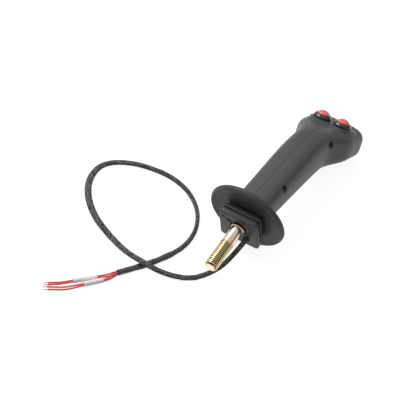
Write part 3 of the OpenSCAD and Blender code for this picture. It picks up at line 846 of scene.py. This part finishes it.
def roundedPlate(width, depth, corner, low, high, behind=0.0, segments=12):
    # a plate with round corners: the corner arcs come from bevelled upright edges
    bm = block((width, depth, high - low), Matrix.Translation((0, behind, (low + high) / 2)))
    upright = [e for e in bm.edges if abs(e.verts[0].co.z - e.verts[1].co.z) > 0.5 * (high - low)]
    roundEdges(bm, upright, corner, segments)
    return bm


def softenRims(bm, levels, amount, segments=3):
    # rounds the edges that lie in any of the flat faces at these heights
    rims = [e for e in bm.edges
            if any(abs(e.verts[0].co.z - z) < 1e-4 and abs(e.verts[1].co.z - z) < 1e-4
                   for z in levels) and e.calc_face_angle(0) > math.radians(40)]
    roundEdges(bm, rims, amount, segments)


def buildGuard():
    outer, bead, bore, cut = guard["diameter"] / 2, guard["bead"], guard["bore"], guard["cut"]
    low, high = -guard["rim"] / 2, guard["rim"] / 2
    profile = rounded([(bore, high, 0), (outer - 4.2, high, 4), (outer, 0.6, 3.2),
                       (outer - 2.2, low, 3.2), (outer - bead, low + 0.25, 1.5),
                       (outer - bead - 2.4, low + 0.9, 2), (bore, low + 0.4, 0)], segments=7)
    bm = lathe(profile, 160, closed=True)
    bm = combine(bm, roundedPlate(guard["width"], guard["depth"], guard["corner"], -cut, cut,
                                  guard["behind"]))
    leadHole = Matrix.Translation((lead["across"], guard["leadBehind"], -cut))
    bm = combine(bm, cylinder(guard["leadHole"], 2 * cut, leadHole, 40))
    finish(move(bm, layMm), "guard", "guard", ["guard"], sharp=50)


buildGuard()


# ---- Base block ----
base = dict(width=38.5, depth=35.5, corner=3.8, behind=2.5, low=-15.5, plate=5.0, neck=7.0,
            groove=1.2, grooveDepth=1.8, edge=0.9, lip=3.2, lipCorner=2.4, neckIn=3.0,
            boltHole=13.8, boltDepth=12, mouth=16.4, pocket=18.4, pocketAbove=3,
            slots=[(-14.6, -8.7, 3.0, 1.7), (-8.9, -5.8, 5.8, 2.6)], slotDepth=3.4,
            dot=(11, -7, 0.9), exitMouth=3.4, exitHole=2.85, exitDepth=9,
            spigotWidth=26.4, spigotDepth=22.3, spigotCorner=8.5, spigotLow=-7, spigotTop=9.0)


def buildBase():
    low = base["low"]
    top = low + base["plate"]
    neckTop = top + base["neck"]
    lipLow = top + base["groove"]
    lipTop = lipLow + base["lip"]
    lap = 0.5      # how far one level reaches into the next
    w, d, behind = base["width"], base["depth"], base["behind"]
    bm = roundedPlate(w, d, base["corner"], low, top, behind)
    softenRims(bm, [low], base["edge"], 4)
    softenRims(bm, [top], 0.7)
    lip = roundedPlate(w - 0.6, d - 0.6, base["lipCorner"], lipLow, lipTop, behind)
    softenRims(lip, [lipLow, lipTop], 0.5)
    inset = 2 * base["grooveDepth"]
    neck = roundedPlate(w - inset, d - inset, base["corner"] - 1, top - 1, lipTop - lap, behind)
    inset = 2 * base["neckIn"]
    upper = roundedPlate(w - inset, d - inset, base["corner"] - 1, lipTop - lap, neckTop, behind)
    spigot = roundedPlate(base["spigotWidth"], base["spigotDepth"], base["spigotCorner"],
                          base["spigotLow"], base["spigotTop"])
    leaning = Matrix.Translation((0, grip["footY"], grip["footZ"])) \
        @ Matrix.Rotation(math.radians(-grip["lean"]), 4, "X")
    for level in (neck, lip, upper, move(spigot, leaning)):
        bm = combine(bm, level, "UNION")
    under = Matrix.Translation((0, 0, low - 1))
    bm = combine(bm, cylinder(base["boltHole"] / 2, base["boltDepth"], under, 72))
    mouth = base["mouth"] / 2
    bm = combine(bm, lathe(rounded([(0, low - 1, 0), (mouth + 1.4, low - 1, 0),
                                    (mouth, low + 0.4, 0), (mouth, low + 1.6, 0.2),
                                    (0, low + 1.6, 0)]), 72))
    bm = combine(bm, hexagon(base["pocket"], through, low + base["pocketAbove"]))
    for x, y, wide, deep in base["slots"]:
        recess = roundedPlate(wide, deep, 0.5, low - 1, low + base["slotDepth"], 0, 4)
        bm = combine(bm, move(recess, Matrix.Translation((x, y, 0))))
    x, y, r = base["dot"]
    bm = combine(bm, cylinder(r, 3, Matrix.Translation((x, y, low - 1)), 24))
    wide, r, deep = base["exitMouth"], base["exitHole"], base["exitDepth"]
    leadExit = lathe([(0, low - 1), (wide, low - 1), (wide, low), (r, low + 0.6),
                      (r, low + deep), (0, low + deep)], 48)
    bm = combine(bm, move(leadExit, Matrix.Translation((lead["across"], lead["behind"], 0))))
    finish(move(bm, layMm), "baseBlock", "base", ["base_block"], sharp=38)


buildBase()
print("guard and base block built")


# ---- Mounting stud ----
# two of these numbers shape the painted shade in the thread's valleys and under the collar
studPiece = dict(major=12.0, pitch=1.75, threadDepth=1.15, threadTop=-33.5, tip=-61.5,
                 chamfer=1.3, chamferSlope=1.1, runOut=2.2, runOutLength=2.0, shank=11.6,
                 collar=13.4, collarLow=-17.0, headLow=-12.5, head=18.0, headHeight=7.56,
                 steps=72, valleyShadeCurve=0.6, underCollarShade=0.6, plainBelow=3, plainRun=6)


def makeThread(low, top, major, root):
    # a threaded rod between two heights: its edge line is wound up by one pitch each turn
    pitch, steps = studPiece["pitch"], studPiece["steps"]
    shape = [(0.0, root), (0.1, root), (0.5, major), (0.6, major)]     # one turn of the thread
    turns = int((top - low) / pitch) + 4
    bm = bmesh.new()
    dots = [bm.verts.new((r, 0, low - 2 * pitch + (n + part) * pitch))
            for n in range(turns) for part, r in shape]
    lines = [bm.edges.new(pair) for pair in zip(dots, dots[1:])]
    bmesh.ops.spin(bm, geom=dots + lines, cent=(0, 0, 0), axis=(0, 0, 1),
                   dvec=(0, 0, pitch / steps), angle=math.tau, steps=steps)
    bmesh.ops.remove_doubles(bm, verts=bm.verts, dist=0.02)
    for z, way in ((low, -1), (top, 1)):
        cutPlane(bm, (0, 0, z), (0, 0, way))
    closeHoles(bm)
    for v in bm.verts:
        # the tip is chamfered, and the thread runs out into the shank
        limit = min(major, major - studPiece["chamfer"]
                    + (v.co.z - low) * studPiece["chamferSlope"])
        r = math.hypot(v.co.x, v.co.y)
        runOut = ease((v.co.z - (top - studPiece["runOut"])) / studPiece["runOutLength"])
        wanted = min(mix(r, studPiece["shank"] / 2 + 0.03, runOut), limit)
        if r > 1:
            v.co.x *= wanted / r
            v.co.y *= wanted / r
    bmesh.ops.recalc_face_normals(bm, faces=bm.faces)
    return bm


def shadeStud(bm, low, top, major):
    # marks the painted shade in the thread's valleys and on the collar's underside, and marks the
    # shank
    valleyShade = bm.verts.layers.float.new("valleyShade")
    plain = bm.verts.layers.float.new("plain")
    shank = studPiece["shank"] / 2
    for v in bm.verts:
        v[plain] = ease((v.co.z - top + studPiece["plainBelow"]) / studPiece["plainRun"])
        if low < v.co.z < top:
            depth = (major - v.co.xy.length) / studPiece["threadDepth"]
            v[valleyShade] = min(1, max(0, depth)) ** studPiece["valleyShadeCurve"]
        elif abs(v.co.z - studPiece["collarLow"]) < 0.3:
            v[valleyShade] = studPiece["underCollarShade"] * ease((v.co.xy.length - shank) / 0.5)


def buildStud():
    low, top, major = studPiece["tip"], studPiece["threadTop"], studPiece["major"] / 2
    bm = makeThread(low, top, major, major - studPiece["threadDepth"])
    shank, collar, end = studPiece["shank"] / 2, studPiece["collar"] / 2, studPiece["collarLow"]
    under, inHead = top - 0.5, studPiece["headLow"] + 0.5
    body = lathe(rounded([(0, under, 0), (shank, under, 0.1), (shank, end - 0.3, 0.25),
                          (collar - 0.15, end, 0.15), (collar, end + 0.15, 0.1),
                          (collar, end + 0.4, 0.15), (collar - 0.5, end + 0.8, 0),
                          (collar - 0.5, inHead, 0), (0, inHead, 0)], 6), 96)
    bm = combine(bm, body, "UNION")
    head = hexagon(studPiece["head"], studPiece["headHeight"], studPiece["headLow"])
    bm = combine(bm, head, "UNION")
    shadeStud(bm, low, top, major)
    finish(move(bm, layMm), "mountingStud", "zinc", ["mounting_stud"], sharp=28,
           material=zincFinish())


def zincFinish():
    # yellow passivated zinc: gold that drifts to green on the thread and to pink on the shank
    shader = Shader("yellow zinc", Metallic=1.0)
    place = shader.add("ShaderNodeTexCoord").outputs["Object"]
    drift = shader.noise(place, 95.0, 2.0, Distortion=0.6)
    gold = shader.ramp(drift, (0.30, (0.94, 0.72, 0.50)), (0.42, (0.96, 0.82, 0.54)),
                       (0.56, (0.94, 0.86, 0.50)), (0.72, (0.86, 0.84, 0.46)))
    pink = shader.ramp(drift, (0.32, (0.66, 0.34, 0.22)), (0.46, (0.86, 0.60, 0.50)),
                       (0.66, (0.90, 0.80, 0.66)))
    plain = shader.add("ShaderNodeAttribute", {"attribute_name": "plain"}).outputs["Fac"]
    valleyShade = shader.add("ShaderNodeAttribute", {"attribute_name": "valleyShade"}).outputs["Fac"]
    # painted shade: the thread's valleys and the collar's underside are darkened in the colour
    shade = shader.maths("MULTIPLY_ADD", valleyShade, -0.92, 1.0)
    fine = shader.noise(place, 900.0, 4.0)
    shader.feed(Base_Color=shader.scaled(shader.blend(plain, gold, pink), shade),
                Roughness=shader.maths("MULTIPLY_ADD", fine, 0.14, 0.1),
                Normal=shader.bump(fine, 0.08, 0.0001))
    return shader.material


buildStud()
print("stud threaded")


# ---- Buttons ----
button = dict(sealHeight=0.8, bezel=17.6, bezelTop=4.4, cap=12.0, capGap=0.3, capLow=3.2,
              capRise=3.4, capEdge=0.4, domeRings=14, barrel=10.8, barrelLow=-13.0, bore=8.4,
              throat=5.2, throatLow=-1.0, recess=1.2, around=112)


def buildButton(side, word):
    b = button
    place = layMm @ atButton(side)
    bezelR, capR, barrelR = b["bezel"] / 2, b["cap"] / 2, b["barrel"] / 2
    boreR, throatR, wellR = b["bore"] / 2, b["throat"] / 2, capR + b["capGap"]
    foot, rim, sealTop = b["barrelLow"], b["bezelTop"], b["sealHeight"]
    bezel = lathe(rounded([
        (boreR, foot, 0), (barrelR, foot, 0.3), (barrelR, sealTop, 0),
        (bezelR - 0.2, sealTop, 0.2), (bezelR, sealTop + 0.3, 0.3), (bezelR, sealTop + 1.1, 0.5),
        (capR + 1.75, rim - 0.5, 1.0), (capR + 1.1, rim, 0.4), (wellR, rim, 0.3),
        (wellR, b["recess"], 0.2), (throatR, b["recess"], 0), (throatR, b["throatLow"], 0),
        (boreR, b["throatLow"], 0), (boreR, foot, 0)], 5), b["around"])
    finish(move(bezel, place), word + "Bezel", "bezel", [word + "_bezel"], sharp=42)
    inner, outer = barrelR + 0.1, bezelR - 0.35
    seal = lathe(rounded([(inner, 0, 0), (outer, 0, 0.3), (outer, sealTop, 0.3),
                          (inner, sealTop, 0)], 4), 96, closed=True)
    finish(move(seal, place), word + "Seal", "seal", [word + "_seal"], sharp=42)
    top, shoulder = rim + b["capRise"], rim + b["capEdge"]
    dome = top - shoulder
    r = (capR ** 2 + dome ** 2) / (2 * dome)
    angles = [math.asin(capR / r) * (1 - k / b["domeRings"]) for k in range(1, b["domeRings"] + 1)]
    crown = [(r * math.sin(a), top - r + r * math.cos(a)) for a in angles]
    skirt = rounded([(0, b["capLow"], 0), (capR, b["capLow"], 0.25), (capR, shoulder, 0.7),
                     (*crown[0], 0)], 5)
    cap = lathe(skirt + crown[1:], b["around"])
    finish(move(cap, place), word + "Cap", "cap", [word + "_cap"], sharp=50,
           body=word + "_button")


for side, word in ((-1, "left"), (1, "right")):
    buildButton(side, word)
print("buttons fitted")


# ---- Inner pieces keep their CAD solids ----
innerFinishes = dict(nut="nut", plunger="plunger", bridge="brass", spring="spring",
                     contacts="phenolic", terminals="brass", inner_wires="wire")


def repaint(name, look):
    materials = frame["nodes"][name].data.materials
    materials.clear()
    materials.append(finishes[look])


for word in ("left", "right"):
    for part, look in innerFinishes.items():
        repaint(f"{word}_{part}", look)
repaint("inner_lead", "seal")
repaint("cable_tie", "tie")


# ---- Floor, sky and lamps ----
studio = dict(floorSize=4, floor=0.24, glow=0.9, skyTop=0.7, skyLow=0.12, aim=(0, 0, 0.03),
              key=dict(power=9.5, size=0.8, place=(-0.8, 0.0, 1.0)),
              fill=dict(power=0.1, size=1.0, place=(0.9, 0.2, 0.6)))


def makeFloor():
    # it glows only where it is seen, directly or mirrored, and so lights nothing
    bm = bmesh.new()
    bmesh.ops.create_grid(bm, x_segments=1, y_segments=1, size=studio["floorSize"])
    floor = asObject(bm, "floor")
    shader = Shader("pale floor", Base_Color=(studio["floor"],) * 3, Roughness=0.9,
                    Specular_IOR_Level=0.1)
    rays = shader.add("ShaderNodeLightPath").outputs
    seen = shader.maths("MAXIMUM", rays["Is Camera Ray"], rays["Is Glossy Ray"])
    seen = shader.maths("MAXIMUM", seen, rays["Is Transmission Ray"])
    shader.feed(Emission_Color=(1, 1, 1),
                Emission_Strength=shader.maths("MULTIPLY", seen, studio["glow"]))
    floor.data.materials.append(shader.material)


def makeSky():
    # bright overhead and dim at the horizon, while the camera itself sees plain white
    world = bpy.data.worlds.new("studio")
    scene.world = world
    world.use_nodes = True
    kit = Nodes(world.node_tree)
    light = kit.tree.nodes["Background"]
    way = kit.add("ShaderNodeTexCoord").outputs["Generated"]
    height = kit.add("ShaderNodeSeparateXYZ", Vector=way).outputs["Z"]
    strength = kit.add("ShaderNodeMapRange", {"interpolation_type": "SMOOTHSTEP"}, Value=height,
                       To_Min=studio["skyLow"], To_Max=studio["skyTop"])
    kit.join((0.98, 0.99, 1.0), light.inputs["Color"])
    kit.join(strength.outputs["Result"], light.inputs["Strength"])
    white = kit.add("ShaderNodeBackground", Color=(1, 1, 1), Strength=1.0)
    seen = kit.add("ShaderNodeLightPath").outputs["Is Camera Ray"]
    both = kit.fill(kit.add("ShaderNodeMixShader"), seen, light.outputs[0], white.outputs[0])
    kit.join(both, kit.tree.nodes["World Output"].inputs["Surface"])


def makeLamp(name):
    lamp = studio[name]
    data = bpy.data.lights.new(name, "AREA")
    data.energy, data.size = lamp["power"], lamp["size"]
    thing = bpy.data.objects.new(name, data)
    thing.location = lamp["place"]
    aim = Vector(studio["aim"]) - Vector(lamp["place"])
    thing.rotation_euler = aim.to_track_quat("-Z", "Y").to_euler()
    scene.collection.objects.link(thing)


makeFloor()
makeSky()
makeLamp("key")
makeLamp("fill")
print("studio lit")
